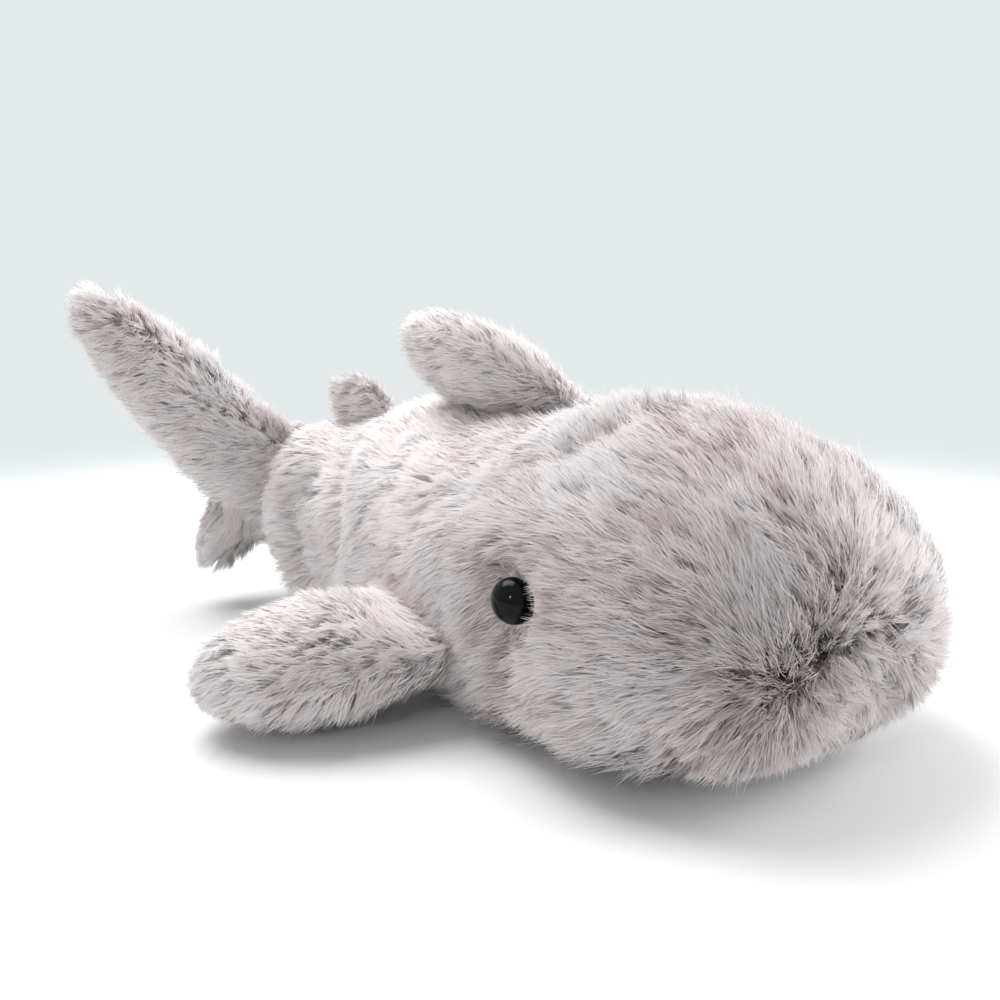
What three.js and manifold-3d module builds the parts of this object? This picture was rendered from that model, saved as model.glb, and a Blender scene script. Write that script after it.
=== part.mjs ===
// A plush shark hand puppet lying on its belly: furry panels sewn over stuffing, with a hand sleeve
// inside. All sizes are millimetres. Before the last step the snout tip lies at the origin of the
// plan, the snout points along -Y, +Z is up, +X is the shark's left, and the belly rests at Z = 0.
import * as THREE from "three";
import { mergeVertices } from "three/addons/utils/BufferGeometryUtils.js";
import Module from "manifold-3d";

const wasm = await Module();
wasm.setup();

// Driving sizes of the trunk: its outer surface lies halfway up the pile.
const headWidth = 146;
const headHeight = 113;
const headSwell = 82; // from the snout tip back to where the head is widest
const crownBack = 116; // from the snout tip back to where the head is highest
const snoutHeight = 47;
const snoutBluntness = 2.8; // seen from above: 2 is an ellipse, and more is squarer
const browBluntness = 2; // seen from the side
const neckWidth = 144;
const neckHeight = 102;
const bodyWidth = 130;
const bodyHeight = 101;
const rearWidth = 92;
const rearHeight = 86;
const bodyLength = 156; // from the neck axis back to the rear seam
const bodyBend = 46; // degrees that the trunk turns to its own right behind the neck axis
const backSquareness = 2.15; // of the upper half of a section
const bellySquareness = 3.8; // of the lower half
const restCut = 0.5; // depth of the flat on which the soft parts rest

// Cloth, pile and clearances.
const furWall = 8;
const finWall = 5;
const liningWall = 1.5;
const seamGap = 0.3;
const layerGap = 0.4;
const turnGap = 0.5;

// Neck axis, along X, and the round end of the torso that the head turns on.
const neckAxisBack = 158; // from the snout tip
const neckAxisHeight = 46;
const neckBallRadius = 61;
const neckNod = 20; // degrees that the snout lifts

// Mouth: the corner is the jaw's axis, along X.
const mouthCornerAhead = 72; // from the neck axis forward
const mouthHeight = 34;
const lipDepth = 20; // the snout stands this far in front of the jaw
const jawInset = 5;
const jawWall = 6;
const mouthGap = 0.8;
const jawOpening = 28;

// Pockets for the fingers and the thumb.
const fingerPocketWidth = 88;
const fingerPocketHeight = 26;
const fingerPocketFront = 36;
const thumbPocketWidth = 32;
const thumbPocketHeight = 20;
const thumbPocketFront = 44;
const thumbPadding = 3.5; // stuffing under the thumb pocket

// Safety eyes.
const eyeDiameter = 15;
const eyeDome = 6;
const eyeAhead = 80; // from the neck axis forward
const eyeHeight = 55;
const eyeSunk = 2.5; // depth of the dome's rim below the mid-pile surface
const eyeTurn = 25; // degrees that the eye looks forward of straight out to its side
const shankDiameter = 4;
const shankLength = 11;
const washerDiameter = 16;
const washerThickness = 1.5;

// Belly panel and the sleeve's mouth under the tail.
const bellySeamHeight = 16;
const sleeveMouthAhead = 48; // from the rear seam forward to the lower edge of the mouth
const sleeveMouthLean = 35; // degrees that the mouth leans back from upright
const hemWidth = 12;
const hemThickness = 2.6;

// Fins: length from the seam to the tip, chord along the body, and thickness at the fullest place.
const pectoral = { length: 79, chord: 72, thickness: 42, sweep: 8, pinch: 16 };
const dorsal = { length: 54, chord: 74, thickness: 30, sweep: 22, pinch: 12 };
const secondDorsal = { length: 26, chord: 38, thickness: 18, sweep: 6, pinch: 9 };
const finTipBluntness = 4; // 2 rounds a tip over its whole length, and more keeps it full for longer
const finTaper = 0.78; // the chord at the tip over the chord at the seam
const finFullest = 0.42; // the share of its length at which a fin reaches its full thickness
const pectoralAhead = 13; // from the neck axis forward
const pectoralHeight = 26;
const pectoralRaise = 55; // degrees
const pectoralTouch = 0.6; // the share of its length at which it touches the surface
const dorsalBehind = 8; // from the neck axis back
const dorsalLean = 50; // degrees to the shark's right
const dorsalRange = [-12, 80]; // degrees, standing up above 0
const secondDorsalAhead = 52; // from the rear seam forward
const secondDorsalLean = 15;
const secondDorsalRange = [-40, 60];

// Tail: a stem with a long upper lobe and a short lower one.
const tailAxisAhead = 16; // from the rear seam forward to the tail's axis
const tailHeight = 62;
const tailCurl = 30; // degrees that the tail turns on from the rear of the trunk
const stemLength = 21;
const stemHeight = 44;
const stemWidth = 42;
const upperLobe = { length: 112, chord: 48, thickness: 38, rise: 48 };
const lowerLobe = { length: 52, chord: 32, thickness: 26, rise: -60 };
const tailRange = [-50, 20]; // degrees, turning further to the shark's right above 0

const radians = THREE.MathUtils.degToRad;
const lerp = THREE.MathUtils.lerp;
const reach = 600; // longer than the whole toy, for cutting boxes

const trunkLength = neckAxisBack + bodyLength;
const mouthCornerBack = neckAxisBack - mouthCornerAhead;
const eyeBack = neckAxisBack - eyeAhead;
const pectoralBack = neckAxisBack - pectoralAhead;
const bendRadius = bodyLength / radians(bodyBend);

// Turns a closed geometry into a solid that can be cut and joined.
function solid(geometry) {
  const bare = geometry.index ? geometry.toNonIndexed() : geometry.clone();
  bare.deleteAttribute("normal");
  bare.deleteAttribute("uv");
  const merged = mergeVertices(bare, 1e-4);
  const vertProperties = merged.attributes.position.array;
  const triVerts = new Uint32Array(merged.index.array);
  return new wasm.Manifold(new wasm.Mesh({ numProp: 3, vertProperties, triVerts }));
}

// A closed skin over rings of points, drawn together at a point past each end.
function loft(rings, firstPoint, lastPoint) {
  const count = rings[0].length;
  const points = [firstPoint, ...rings.flat(), lastPoint];
  const faces = [];
  const at = (ring, i) => 1 + ring * count + (i % count);
  for (let i = 0; i < count; i++) {
    faces.push(0, at(0, i + 1), at(0, i));
    for (let ring = 0; ring + 1 < rings.length; ring++) {
      faces.push(at(ring, i), at(ring, i + 1), at(ring + 1, i));
      faces.push(at(ring, i + 1), at(ring + 1, i + 1), at(ring + 1, i));
    }
    faces.push(points.length - 1, at(rings.length - 1, i), at(rings.length - 1, i + 1));
  }
  const geometry = new THREE.BufferGeometry().setFromPoints(points).setIndex(faces);
  const made = solid(geometry);
  return made.volume() > 0 ? made : solid(geometry.setIndex(faces.reverse()));
}

// A half-space as a large box: everything on the side of the point that the normal points to.
function beyond(point, normal) {
  const box = new THREE.BoxGeometry(reach, reach, reach).translate(0, 0, reach / 2);
  const turn = new THREE.Quaternion().setFromUnitVectors(up, normal.clone().normalize());
  box.applyQuaternion(turn).translate(point.x, point.y, point.z);
  return solid(box);
}

const up = new THREE.Vector3(0, 0, 1);
const across = new THREE.Vector3(1, 0, 0);
const backwards = new THREE.Vector3(0, 1, 0);
const above = (z) => beyond(up.clone().multiplyScalar(z), up);
const below = (z) => beyond(up.clone().multiplyScalar(z), up.clone().negate());
const behind = (y) => beyond(backwards.clone().multiplyScalar(y), backwards);
const ahead = (y) => beyond(backwards.clone().multiplyScalar(y), backwards.clone().negate());

// The trunk's course seen from above: straight to the neck axis, then an arc towards -X.
function course(back) {
  const turn = Math.max(0, back - neckAxisBack) / bendRadius;
  const straight = Math.min(back, neckAxisBack);
  const sideways = -bendRadius * (1 - Math.cos(turn));
  const place = new THREE.Vector3(sideways, straight + bendRadius * Math.sin(turn), 0);
  const along = new THREE.Vector3(-Math.sin(turn), Math.cos(turn), 0);
  const left = new THREE.Vector3(Math.cos(turn), Math.sin(turn), 0);
  return { place, along, left };
}

// Width and top of the trunk between its named stations, eased from each to the next.
const trunkStations = [
  [0, headWidth, headHeight],
  [headSwell, headWidth, headHeight],
  [neckAxisBack - neckBallRadius / 2, neckWidth, neckHeight],
  [neckAxisBack + bodyLength / 3, bodyWidth, bodyHeight],
  [trunkLength - rearWidth / 2, rearWidth, rearHeight],
  [trunkLength, rearWidth, rearHeight],
];

function trunkSize(back) {
  const last = trunkStations.length - 1;
  let i = 1;
  while (i < last && back > trunkStations[i][0]) i++;
  const [a, b] = [trunkStations[i - 1], trunkStations[i]];
  const t = THREE.MathUtils.smoothstep(back, a[0], b[0]);
  return { width: lerp(a[1], b[1], t), top: lerp(a[2], b[2], t) };
}

// Rounds the trunk's ends: 0 at the very end, 1 where it has its full section.
function swell(distance, length, bluntness) {
  const t = THREE.MathUtils.clamp(distance / length, 0, 1);
  return (1 - (1 - t) ** bluntness) ** (1 / bluntness);
}

// Half-width, lowest and highest point of the trunk, drawn in by inset and underneath by under.
function trunkForm(back, inset, under) {
  const { width, top } = trunkSize(back);
  const snout = swell(back - inset, headSwell - inset, snoutBluntness);
  const brow = swell(back - inset, crownBack - inset, browBluntness);
  const rear = swell(trunkLength - inset - back, rearWidth / 2 - inset, 2);
  const middle = back < headSwell ? snoutHeight : tailHeight;
  return {
    halfWidth: (width / 2 - inset) * snout * rear,
    top: middle + (top - inset - middle) * brow * rear,
    bottom: middle - (middle + restCut - under) * snout * rear,
  };
}

function trunkPoint(back, angle, inset, under = inset) {
  const { halfWidth, top, bottom } = trunkForm(back, inset, under);
  const { place, left } = course(back);
  const power = 2 / (Math.sin(angle) > 0 ? backSquareness : bellySquareness);
  const side = Math.sign(Math.cos(angle)) * Math.abs(Math.cos(angle)) ** power;
  const rise = Math.sign(Math.sin(angle)) * Math.abs(Math.sin(angle)) ** power;
  const point = place.clone().addScaledVector(left, halfWidth * side);
  point.z = (top + bottom) / 2 + ((top - bottom) / 2) * rise;
  return point;
}

// The trunk as one closed form, drawn in by inset and cut flat where it rests.
function trunk(inset, under = inset) {
  const steps = 20;
  const around = 24;
  const crowding = 0.75; // how much closer the rings stand near both ends
  const from = inset;
  const to = trunkLength - inset;
  const rings = [];
  for (let i = 1; i < steps; i++) {
    const t = i / steps;
    const eased = t - (crowding * Math.sin(2 * Math.PI * t)) / (2 * Math.PI);
    const back = lerp(from, to, eased);
    const angle = (j) => (2 * Math.PI * j) / around;
    rings.push(Array.from({ length: around }, (_, j) => trunkPoint(back, angle(j), inset, under)));
  }
  const first = trunkPoint(from, 0, inset);
  const last = trunkPoint(to, 0, inset);
  return loft(rings, first, last).intersect(above(0));
}

// A cylinder along X through the neck axis or the mouth corner.
function barrel(back, height, radius) {
  const cylinder = new THREE.CylinderGeometry(radius, radius, reach, 48).rotateZ(Math.PI / 2);
  return solid(cylinder.translate(0, back, height));
}

const neckBall = barrel(neckAxisBack, neckAxisHeight, neckBallRadius);
const neckSocket = barrel(neckAxisBack, neckAxisHeight, neckBallRadius + turnGap);
const torsoSide = neckBall.add(behind(neckAxisBack));
const headSide = ahead(neckAxisBack).subtract(neckSocket);

// All the room that a form takes while it turns about an axis, in degrees.
function swept(form, point, axis, [from, to]) {
  const widestStep = 6;
  const steps = Math.ceil((to - from) / widestStep);
  const places = Array.from({ length: steps + 1 }, (_, i) => {
    const turn = new THREE.Matrix4().makeRotationAxis(axis, radians(lerp(from, to, i / steps)));
    const back = new THREE.Matrix4().makeTranslation(point.clone().negate());
    const matrix = new THREE.Matrix4().makeTranslation(point).multiply(turn).multiply(back);
    return form.transform(matrix.toArray());
  });
  return wasm.Manifold.union(places);
}

// Cuts a form so that it can turn about an axis beside another that stands still.
function clearOfTurn(form, still, point, axis, [from, to]) {
  return form.subtract(swept(still, point, axis, [-to, -from]));
}

// Keeps the largest body of a cut form and drops crumbs.
function largest(form) {
  return form.decompose().sort((a, b) => b.volume() - a.volume())[0];
}

// Each body of the toy is a group that turns about its own hinge.
const puppet = new THREE.Group();

function addBody(hinge) {
  const body = new THREE.Group();
  body.userData.hinge = hinge;
  puppet.add(body);
  return body;
}

const furColour = 0xcfc6cb;
const fillingColour = 0xf4f1ea;
const liningColour = 0xb9b2c0;
const eyeColour = 0x0b0b0d;
const washerColour = 0xe9e6df;
const clothRoughness = 0.95;
const eyeRoughness = 0.1;
const washerRoughness = 0.5;

function addPiece(body, name, form, color, roughness = clothRoughness) {
  const { vertProperties, triVerts } = largest(form).getMesh();
  const geometry = new THREE.BufferGeometry();
  geometry.setAttribute("position", new THREE.BufferAttribute(vertProperties, 3));
  geometry.setIndex(new THREE.BufferAttribute(triVerts, 1));
  geometry.computeVertexNormals();
  const material = new THREE.MeshStandardMaterial({ color, roughness, metalness: 0 });
  const mesh = new THREE.Mesh(geometry, material);
  mesh.name = name;
  body.add(mesh);
}

// Torso: a furry back panel and a belly panel, with the lining sleeve inside.
const mouthFoot = course(trunkLength - sleeveMouthAhead);
const mouthNormal = mouthFoot.along.clone().multiplyScalar(Math.cos(radians(sleeveMouthLean)));
mouthNormal.addScaledVector(up, -Math.sin(radians(sleeveMouthLean)));
const pastMouth = (distance) =>
  beyond(mouthFoot.place.clone().addScaledVector(mouthNormal, -distance), mouthNormal);

const torso = addBody(null);
const torsoForm = trunk(0).intersect(torsoSide);
const torsoSkin = torsoForm.subtract(trunk(furWall)).subtract(pastMouth(0));
addPiece(torso, "back_panel", torsoSkin.intersect(above(bellySeamHeight + seamGap)), furColour);
addPiece(torso, "belly_panel", torsoSkin.intersect(below(bellySeamHeight)), furColour);

const sleeveInset = furWall + layerGap;
const sleeveOuter = trunk(sleeveInset).intersect(torsoSide).subtract(pastMouth(hemWidth + seamGap));
addPiece(torso, "hand_sleeve", sleeveOuter.subtract(trunk(sleeveInset + liningWall)), liningColour);
const hemBand = pastMouth(hemWidth).subtract(pastMouth(0));
const hemRing = trunk(sleeveInset).subtract(trunk(sleeveInset + hemThickness));
addPiece(torso, "opening_hem", hemRing.intersect(hemBand), liningColour);

// A fin as padded sections from its seam to its tip. Its own x is thickness, y chord and z length.
function finForm(fin, inset, place, axes) {
  const sections = 8;
  const around = 12;
  const seamInset = 0.4; // the share of the inset that the thin cloth at the seam takes
  const sweepCurve = 1.3; // above 1 the fin sweeps back more and more towards its tip
  const rings = [];
  const span = fin.length - inset;
  for (let i = 0; i < sections; i++) {
    const t = Math.sin((i / sections) * (Math.PI / 2));
    const z = lerp(-fin.pinch, span, t);
    const along = Math.max(0, z / span);
    const round = (1 - along ** finTipBluntness) ** 0.5;
    const full = THREE.MathUtils.smoothstep(along, 0, finFullest);
    const halfChord = ((fin.chord / 2) * lerp(1, finTaper, along) - inset) * round;
    const taken = inset * lerp(seamInset, 1, full);
    const halfThickness = (lerp(fin.pinch, fin.thickness, full) / 2 - taken) * round;
    const ring = [];
    for (let j = 0; j < around; j++) {
      const angle = (2 * Math.PI * j) / around;
      const y = fin.sweep * along ** sweepCurve + halfChord * Math.sin(angle);
      ring.push(new THREE.Vector3(halfThickness * Math.cos(angle), y, z));
    }
    rings.push(ring);
  }
  const tip = new THREE.Vector3(0, fin.sweep, span);
  const root = new THREE.Vector3(0, 0, -fin.pinch - 1);
  const matrix = new THREE.Matrix4().makeBasis(...axes).setPosition(place);
  for (const point of [...rings.flat(), tip, root]) point.applyMatrix4(matrix);
  return loft(rings, root, tip);
}

// The three directions of a fin: thickness, chord towards the tail, and length.
function finAxes(along, lengthwise) {
  const length = lengthwise.clone().normalize();
  const thickness = along.clone().cross(length).normalize();
  return [thickness, length.clone().cross(thickness), length];
}

// Two sewn halves of a stuffed cover and the stuffing between them.
function stuffed(body, names, outer, inner, filling, place, normal) {
  const cover = outer.subtract(inner);
  const half = (side) => {
    const direction = normal.clone().multiplyScalar(side);
    return beyond(place.clone().addScaledVector(direction, seamGap / 2), direction);
  };
  addPiece(body, names[0], cover.intersect(half(1)), furColour);
  addPiece(body, names[1], cover.intersect(half(-1)), furColour);
  addPiece(body, names[2], filling, fillingColour);
}

const torsoEnvelope = trunk(-turnGap).intersect(torsoSide);

function addFin(title, halves, fin, { place, axes }, range) {
  const body = addBody({ name: title, point: place, axis: axes[1], degrees: range });
  const names = [...halves, "filling"].map((piece) => title + "_" + piece);
  const form = (inset) => finForm(fin, inset, place, axes).intersect(above(0));
  const cut = (shape) => clearOfTurn(shape, torsoEnvelope, place, axes[1], range);
  const filling = cut(form(finWall + layerGap));
  stuffed(body, names, cut(form(0)), form(finWall), filling, place, axes[0]);
}

// Fins on the back lean to the shark's right.
function backFin(back, lean) {
  const { place, along, left } = course(back);
  place.z = trunkForm(back, 0, 0).top;
  const lengthwise = up.clone().multiplyScalar(Math.cos(radians(lean)));
  lengthwise.addScaledVector(left, -Math.sin(radians(lean)));
  return { place, axes: finAxes(along, lengthwise) };
}

const dorsalSeat = backFin(neckAxisBack + dorsalBehind, dorsalLean);
const secondDorsalSeat = backFin(trunkLength - secondDorsalAhead, secondDorsalLean);
addFin("dorsal", ["right", "left"], dorsal, dorsalSeat, dorsalRange);
addFin("second_dorsal", ["right", "left"], secondDorsal, secondDorsalSeat, secondDorsalRange);

// Head: two side panels that meet on the midline, over stuffing and the finger pocket.
const neckAxis = new THREE.Vector3(0, neckAxisBack, neckAxisHeight);
const head = addBody({ name: "neck_nod", point: neckAxis, axis: across, degrees: [-neckNod, 0] });
const dorsalForm = finForm(dorsal, -turnGap, dorsalSeat.place, dorsalSeat.axes);
const dorsalRoom = swept(dorsalForm, dorsalSeat.place, dorsalSeat.axes[1], dorsalRange);
const besideHead = torsoEnvelope.add(dorsalRoom);
const headCut = (form) => clearOfTurn(form, besideHead, neckAxis, across, [-neckNod, 0]);
const jawRoom = below(mouthHeight).intersect(ahead(mouthCornerBack)).intersect(behind(lipDepth));
const solidLip = below(mouthHeight).intersect(ahead(lipDepth));
const headSolid = headCut(trunk(0).intersect(headSide));
const headSkin = headSolid.subtract(jawRoom).subtract(trunk(furWall).subtract(solidLip));

// A flat pocket, closed and rounded in front and open behind.
function pocket(width, height, front, bottom, inset) {
  const middle = bottom + height / 2;
  const nose = front + inset;
  const ring = (back, round) => pocketRing(back, width - 2 * inset, height - 2 * inset, middle, round);
  const rings = [0.1, 0.4, 1].map((t) => ring(nose + (height / 2) * t, swell(t, 1, 2)));
  rings.push(ring(neckAxisBack, 1));
  return loft(rings, new THREE.Vector3(0, nose, middle), new THREE.Vector3(0, neckAxisBack + 1, middle));
}

function pocketRing(back, width, height, middle, round) {
  const ring = [];
  const around = 20;
  const power = 0.6; // below 1 the section is squarer than an ellipse
  for (let j = 0; j < around; j++) {
    const angle = (2 * Math.PI * j) / around;
    const side = Math.sign(Math.cos(angle)) * Math.abs(Math.cos(angle)) ** power;
    const rise = Math.sign(Math.sin(angle)) * Math.abs(Math.sin(angle)) ** power;
    const halfWidth = width / 2 - (height / 2) * (1 - round);
    ring.push(new THREE.Vector3(halfWidth * side, back, middle + (height / 2) * round * rise));
  }
  return ring;
}

const palateBottom = mouthHeight + seamGap;
const pocketBottom = palateBottom + liningWall + seamGap;
const fingers = (inset) =>
  pocket(fingerPocketWidth, fingerPocketHeight, fingerPocketFront, pocketBottom, inset);
const fingerPocket = fingers(0).subtract(fingers(liningWall)).intersect(headSide);
addPiece(head, "finger_pocket", fingerPocket, liningColour);
const palatePlate = above(palateBottom).intersect(below(palateBottom + liningWall));
const palate = trunk(sleeveInset).intersect(palatePlate).intersect(headSide);
addPiece(head, "palate_lining", palate, liningColour);

let headPanels = headSkin;
let headFilling = trunk(sleeveInset).intersect(headSolid).intersect(above(pocketBottom));
headFilling = headFilling.subtract(fingers(-layerGap));

// A turned piece whose own axis, +Y in the profile, points out to one side and a little forward.
function turned(profile, side, place) {
  const points = profile.map(([radius, height]) => new THREE.Vector2(radius, height));
  const geometry = new THREE.LatheGeometry(points, 16).rotateZ(-side * (Math.PI / 2 + radians(eyeTurn)));
  return solid(geometry.translate(place.x, place.y, place.z));
}

const disc = (radius, from, to) => [[0, from], [radius, from], [radius, to], [0, to]];

for (const [side, name] of [[1, "left"], [-1, "right"]]) {
  const { halfWidth, top, bottom } = trunkForm(eyeBack, 0, 0);
  const rise = Math.abs((eyeHeight - (top + bottom) / 2) / ((top - bottom) / 2));
  const squareness = eyeHeight > (top + bottom) / 2 ? backSquareness : bellySquareness;
  const surface = halfWidth * (1 - rise ** squareness) ** (1 / squareness);
  const rim = new THREE.Vector3(side * (surface - eyeSunk), eyeBack, eyeHeight);
  const radius = eyeDiameter / 2;
  const shank = shankDiameter / 2;
  const profile = [[0, -shankLength], [shank, -shankLength], [shank, 0]];
  for (let i = 0; i < 6; i++) {
    const angle = (i / 6) * (Math.PI / 2);
    profile.push([radius * Math.cos(angle), eyeDome * Math.sin(angle)]);
  }
  profile.push([0, eyeDome]);
  addPiece(head, "eye_" + name, turned(profile, side, rim), eyeColour, eyeRoughness);
  const washerTop = eyeSunk - furWall;
  const [hole, edge] = [shank + seamGap, washerDiameter / 2];
  const washerFoot = washerTop - washerThickness;
  const washer = [[hole, washerFoot], [edge, washerFoot], [edge, washerTop], [hole, washerTop]];
  washer.push(washer[0]);
  addPiece(head, "eye_washer_" + name, turned(washer, side, rim), washerColour, washerRoughness);
  const shankRoom = turned(disc(hole, -shankLength - layerGap, 0), side, rim);
  const domeRoom = turned(disc(radius + seamGap, -seamGap, eyeDiameter), side, rim);
  const washerRoom = turned(disc(edge + layerGap, -shankLength - layerGap, washerTop + seamGap), side, rim);
  headPanels = headPanels.subtract(domeRoom).subtract(shankRoom).subtract(washerRoom);
  headFilling = headFilling.subtract(washerRoom);
}
const leftOfMidline = beyond(across.clone().multiplyScalar(seamGap / 2), across);
const rightOfMidline = beyond(across.clone().multiplyScalar(-seamGap / 2), across.clone().negate());
addPiece(head, "head_panel_left", headPanels.intersect(leftOfMidline), furColour);
addPiece(head, "head_panel_right", headPanels.intersect(rightOfMidline), furColour);
addPiece(head, "head_filling", headFilling, fillingColour);

// Jaw: an underslung chin panel over stuffing and the thumb pocket, lined on top.
const jawTop = mouthHeight - mouthGap;
const jawFront = lipDepth + 2 * layerGap;
const jawAxis = new THREE.Vector3(0, mouthCornerBack, mouthHeight);
const jaw = addBody({ name: "jaw_open", point: jawAxis, axis: across, degrees: [0, jawOpening] });
const throat = behind(mouthCornerBack - turnGap);
const jawCut = (form) => clearOfTurn(form, throat, jawAxis, across, [0, jawOpening]);
const jawForm = (inset, under, from, to) =>
  jawCut(trunk(inset, under).intersect(behind(from)).intersect(below(to)));
const chinTop = jawTop - liningWall - seamGap;
const chinHollow = trunk(jawInset + jawWall, jawWall).intersect(behind(jawFront + jawWall));
addPiece(jaw, "chin_panel", jawForm(jawInset, 0, jawFront, chinTop).subtract(chinHollow), furColour);
const tongue = jawForm(jawInset, 0, jawFront, jawTop).intersect(above(jawTop - liningWall));
addPiece(jaw, "tongue_lining", tongue, liningColour);
const thumbBottom = jawWall + thumbPadding;
const thumb = (inset) =>
  pocket(thumbPocketWidth, thumbPocketHeight, thumbPocketFront, thumbBottom, inset);
addPiece(jaw, "thumb_pocket", jawCut(thumb(0).subtract(thumb(liningWall))), liningColour);
const jawFillingInset = jawInset + jawWall + layerGap;
const jawFillingForm = jawForm(jawFillingInset, jawWall + layerGap, jawFront + jawWall + layerGap, chinTop);
addPiece(jaw, "jaw_filling", jawFillingForm.subtract(thumb(-layerGap)), fillingColour);

// Pectoral fins lie on the surface, and lift about their seams.
for (const [side, name] of [[1, "left"], [-1, "right"]]) {
  const { place, along, left } = course(pectoralBack);
  const { halfWidth } = trunkForm(pectoralBack, 0, 0);
  place.addScaledVector(left, side * (halfWidth - layerGap)).setZ(pectoralHeight);
  const drop = pectoralHeight - pectoral.thickness / 2 + restCut;
  const outward = left.clone().multiplyScalar(side * pectoral.length * pectoralTouch);
  const seat = { place, axes: finAxes(along, outward.addScaledVector(up, -drop)) };
  const halves = side > 0 ? ["lower", "upper"] : ["upper", "lower"];
  const range = side > 0 ? [-pectoralRaise, 0] : [0, pectoralRaise];
  addFin("pectoral_" + name, halves, pectoral, seat, range);
}

// Tail: stem and two lobes in one stuffed cover of a left and a right half.
const tailRoot = course(trunkLength - tailAxisAhead);
const tailAxis = tailRoot.place.clone().setZ(tailHeight);
const tailTurn = radians(bodyBend * (bodyLength - tailAxisAhead) / bodyLength + tailCurl);
const tailAlong = new THREE.Vector3(-Math.sin(tailTurn), Math.cos(tailTurn), 0);
const tailSide = new THREE.Vector3(Math.cos(tailTurn), Math.sin(tailTurn), 0);

function tailForm(inset) {
  const lobePinch = 0.75; // the share of its thickness that a lobe has where it leaves the stem
  const stemTip = stemLength + upperLobe.chord / 2;
  const stem = { length: stemTip, chord: stemHeight, thickness: stemWidth, sweep: 0, pinch: stemWidth };
  const junction = tailAxis.clone().addScaledVector(tailAlong, stemLength);
  let form = finForm(stem, inset, tailAxis, [tailSide.clone().negate(), up, tailAlong.clone()]);
  for (const lobe of [upperLobe, lowerLobe]) {
    const rise = radians(lobe.rise);
    const lengthwise = tailAlong.clone().multiplyScalar(Math.cos(rise)).addScaledVector(up, Math.sin(rise));
    const chord = lengthwise.clone().cross(tailSide);
    const shape = { ...lobe, sweep: 0, pinch: lobe.thickness * lobePinch };
    form = form.add(finForm(shape, inset, junction, [chord.clone().cross(lengthwise), chord, lengthwise]));
  }
  return form;
}

const tail = addBody({ name: "tail_sway", point: tailAxis, axis: up, degrees: tailRange });
const tailCut = (form) => clearOfTurn(form, torsoEnvelope, tailAxis, up, tailRange);
const tailNames = ["tail_left", "tail_right", "tail_filling"];
const tailFilling = tailCut(tailForm(finWall + layerGap));
stuffed(tail, tailNames, tailCut(tailForm(0)), tailForm(finWall), tailFilling, tailAxis, tailSide);

// The origin lies under the middle of the whole toy, on the surface it rests on.
const box = new THREE.Box3().setFromObject(puppet);
const middle = box.getCenter(new THREE.Vector3());
puppet.position.set(-middle.x, -middle.y, -box.min.z);

export default puppet;
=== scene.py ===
import bmesh
import bpy
import numpy as np
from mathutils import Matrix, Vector


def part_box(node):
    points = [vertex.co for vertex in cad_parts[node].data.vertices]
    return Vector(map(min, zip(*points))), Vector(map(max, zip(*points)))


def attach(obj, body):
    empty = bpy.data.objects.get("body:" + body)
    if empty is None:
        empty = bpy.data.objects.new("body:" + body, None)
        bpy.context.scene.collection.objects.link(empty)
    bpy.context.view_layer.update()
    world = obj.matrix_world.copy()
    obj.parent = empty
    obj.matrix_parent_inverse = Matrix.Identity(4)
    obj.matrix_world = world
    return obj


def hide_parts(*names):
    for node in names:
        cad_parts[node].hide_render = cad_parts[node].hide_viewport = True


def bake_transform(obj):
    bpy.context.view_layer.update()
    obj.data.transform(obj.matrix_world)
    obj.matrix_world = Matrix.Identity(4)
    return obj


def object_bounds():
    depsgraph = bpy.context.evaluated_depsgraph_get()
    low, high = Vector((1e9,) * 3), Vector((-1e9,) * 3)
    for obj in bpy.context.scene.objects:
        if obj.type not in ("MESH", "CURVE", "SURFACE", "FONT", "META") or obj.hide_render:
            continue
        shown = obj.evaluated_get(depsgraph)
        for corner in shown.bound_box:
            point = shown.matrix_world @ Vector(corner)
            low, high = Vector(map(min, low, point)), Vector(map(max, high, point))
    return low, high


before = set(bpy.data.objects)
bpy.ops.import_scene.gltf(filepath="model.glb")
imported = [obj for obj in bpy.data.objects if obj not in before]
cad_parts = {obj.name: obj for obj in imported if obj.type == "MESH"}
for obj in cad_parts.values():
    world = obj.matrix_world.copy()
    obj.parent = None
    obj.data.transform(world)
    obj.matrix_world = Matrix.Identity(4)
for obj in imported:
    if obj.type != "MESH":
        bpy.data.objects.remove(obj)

cad_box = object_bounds()

# Camera, floor and lamps: the toy lies on a seamless white sweep that greys off behind it.
# A large soft lamp hangs over it and a smaller one stands on its left, the white table throws
# a little light up at the snout, and a small lamp glints in the eye.
camera_place, camera_target = (-0.2377, -0.3239, 0.1484), (-0.0071, 0.0160, 0.0611)
camera = bpy.data.objects.new("camera", bpy.data.cameras.new("camera"))
bpy.context.scene.collection.objects.link(camera)
camera.location = camera_place
view_line = Vector(camera_target) - camera.location
camera.rotation_euler = view_line.to_track_quat("-Z", "Y").to_euler()
camera.data.lens, camera.data.sensor_width = 36, 36
camera.data.clip_start, camera.data.clip_end = 0.01, 20
bpy.context.scene.camera = camera
bpy.context.scene.view_settings.view_transform = "Standard"


def add_node(tree, kind, settings=None, **values):
    """A node in a shader's tree, with its settings and its inputs' values, where _ stands for a space."""
    node = tree.nodes.new("ShaderNode" + kind)
    for word, value in (settings or {}).items():
        setattr(node, word, value)
    for word, value in values.items():
        node.inputs[word.replace("_", " ")].default_value = value
    return node


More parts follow.
